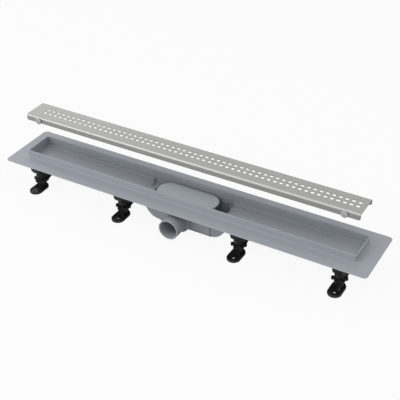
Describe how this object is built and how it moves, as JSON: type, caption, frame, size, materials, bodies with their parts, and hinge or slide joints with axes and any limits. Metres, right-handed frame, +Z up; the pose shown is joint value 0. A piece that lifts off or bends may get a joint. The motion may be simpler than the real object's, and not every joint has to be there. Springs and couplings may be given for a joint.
{
  "type": "linear shower drain",
  "caption": "Linear shower channel with a wide flange, side-outlet trap, screw feet under cradles and a perforated steel grate held above it.",
  "frame": {"origin": "on the floor, at the centre of the rectangle of the outer feet's fixing holes, below the middle of the channel", "axes": "+X along the channel, +Z up, and the outlet points to -Y, the front"},
  "size_m": [0.818, 0.1486, 0.1712],
  "materials": {
    "channel_plastic": "grey moulded plastic, fine matt",
    "insert_plastic": "grey moulded plastic, fine matt",
    "cover_plastic": "light grey moulded plastic, satin",
    "stop_plastic": "grey moulded plastic, satin",
    "black_plastic": "black moulded plastic, satin",
    "gasket_rubber": "matt",
    "brushed_steel": "stainless, brushed along its length"
  },
  "bodies": {
    "drain": {"channel_tray": "channel_plastic", "trap_bowl": "channel_plastic", "trap_insert": "insert_plastic", "trap_cover": "cover_plastic", "outlet_gasket": "gasket_rubber", "grate": "brushed_steel", "grate_stop_front_left": "stop_plastic", "grate_stop_front_right": "stop_plastic", "grate_stop_rear_left": "stop_plastic", "grate_stop_rear_right": "stop_plastic", "cradle_1": "black_plastic", "cradle_2": "black_plastic", "cradle_3": "black_plastic", "cradle_4": "black_plastic"},
    "height_wheel_front_1": {"height_wheel_front_1": "black_plastic"},
    "screw_foot_front_1": {"screw_foot_front_1": "black_plastic"},
    "height_wheel_front_2": {"height_wheel_front_2": "black_plastic"},
    "screw_foot_front_2": {"screw_foot_front_2": "black_plastic"},
    "height_wheel_front_3": {"height_wheel_front_3": "black_plastic"},
    "screw_foot_front_3": {"screw_foot_front_3": "black_plastic"},
    "height_wheel_front_4": {"height_wheel_front_4": "black_plastic"},
    "screw_foot_front_4": {"screw_foot_front_4": "black_plastic"},
    "height_wheel_rear_1": {"height_wheel_rear_1": "black_plastic"},
    "screw_foot_rear_1": {"screw_foot_rear_1": "black_plastic"},
    "height_wheel_rear_2": {"height_wheel_rear_2": "black_plastic"},
    "screw_foot_rear_2": {"screw_foot_rear_2": "black_plastic"},
    "height_wheel_rear_3": {"height_wheel_rear_3": "black_plastic"},
    "screw_foot_rear_3": {"screw_foot_rear_3": "black_plastic"},
    "height_wheel_rear_4": {"height_wheel_rear_4": "black_plastic"},
    "screw_foot_rear_4": {"screw_foot_rear_4": "black_plastic"}
  },
  "joints": [
    {"name": "height_wheel_front_1_turn", "type": "hinge", "parent": "drain", "child": "height_wheel_front_1", "pos_m": [-0.347, -0.034, 0.0213], "axis": [0, 0, 1], "range_deg": [0, 1800]},
    {"name": "screw_foot_front_1_slide", "type": "slide", "parent": "drain", "child": "screw_foot_front_1", "axis": [0, 0, -1], "range_m": [0, 0.02]},
    {"name": "height_wheel_front_2_turn", "type": "hinge", "parent": "drain", "child": "height_wheel_front_2", "pos_m": [-0.135, -0.034, 0.0213], "axis": [0, 0, 1], "range_deg": [0, 1800]},
    {"name": "screw_foot_front_2_slide", "type": "slide", "parent": "drain", "child": "screw_foot_front_2", "axis": [0, 0, -1], "range_m": [0, 0.02]},
    {"name": "height_wheel_front_3_turn", "type": "hinge", "parent": "drain", "child": "height_wheel_front_3", "pos_m": [0.135, -0.034, 0.0213], "axis": [0, 0, 1], "range_deg": [0, 1800]},
    {"name": "screw_foot_front_3_slide", "type": "slide", "parent": "drain", "child": "screw_foot_front_3", "axis": [0, 0, -1], "range_m": [0, 0.02]},
    {"name": "height_wheel_front_4_turn", "type": "hinge", "parent": "drain", "child": "height_wheel_front_4", "pos_m": [0.347, -0.034, 0.0213], "axis": [0, 0, 1], "range_deg": [0, 1800]},
    {"name": "screw_foot_front_4_slide", "type": "slide", "parent": "drain", "child": "screw_foot_front_4", "axis": [0, 0, -1], "range_m": [0, 0.02]},
    {"name": "height_wheel_rear_1_turn", "type": "hinge", "parent": "drain", "child": "height_wheel_rear_1", "pos_m": [-0.347, 0.034, 0.0213], "axis": [0, 0, 1], "range_deg": [0, 1800]},
    {"name": "screw_foot_rear_1_slide", "type": "slide", "parent": "drain", "child": "screw_foot_rear_1", "axis": [0, 0, -1], "range_m": [0, 0.02]},
    {"name": "height_wheel_rear_2_turn", "type": "hinge", "parent": "drain", "child": "height_wheel_rear_2", "pos_m": [-0.135, 0.034, 0.0213], "axis": [0, 0, 1], "range_deg": [0, 1800]},
    {"name": "screw_foot_rear_2_slide", "type": "slide", "parent": "drain", "child": "screw_foot_rear_2", "axis": [0, 0, -1], "range_m": [0, 0.02]},
    {"name": "height_wheel_rear_3_turn", "type": "hinge", "parent": "drain", "child": "height_wheel_rear_3", "pos_m": [0.135, 0.034, 0.0213], "axis": [0, 0, 1], "range_deg": [0, 1800]},
    {"name": "screw_foot_rear_3_slide", "type": "slide", "parent": "drain", "child": "screw_foot_rear_3", "axis": [0, 0, -1], "range_m": [0, 0.02]},
    {"name": "height_wheel_rear_4_turn", "type": "hinge", "parent": "drain", "child": "height_wheel_rear_4", "pos_m": [0.347, 0.034, 0.0213], "axis": [0, 0, 1], "range_deg": [0, 1800]},
    {"name": "screw_foot_rear_4_slide", "type": "slide", "parent": "drain", "child": "screw_foot_rear_4", "axis": [0, 0, -1], "range_m": [0, 0.02]}
  ],
  "couplings": [
    {"joint": "screw_foot_front_1_slide", "follows": "height_wheel_front_1_turn", "m_per_rad": 0.00063662},
    {"joint": "screw_foot_front_2_slide", "follows": "height_wheel_front_2_turn", "m_per_rad": 0.00063662},
    {"joint": "screw_foot_front_3_slide", "follows": "height_wheel_front_3_turn", "m_per_rad": 0.00063662},
    {"joint": "screw_foot_front_4_slide", "follows": "height_wheel_front_4_turn", "m_per_rad": 0.00063662},
    {"joint": "screw_foot_rear_1_slide", "follows": "height_wheel_rear_1_turn", "m_per_rad": 0.00063662},
    {"joint": "screw_foot_rear_2_slide", "follows": "height_wheel_rear_2_turn", "m_per_rad": 0.00063662},
    {"joint": "screw_foot_rear_3_slide", "follows": "height_wheel_rear_3_turn", "m_per_rad": 0.00063662},
    {"joint": "screw_foot_rear_4_slide", "follows": "height_wheel_rear_4_turn", "m_per_rad": 0.00063662}
  ]
}
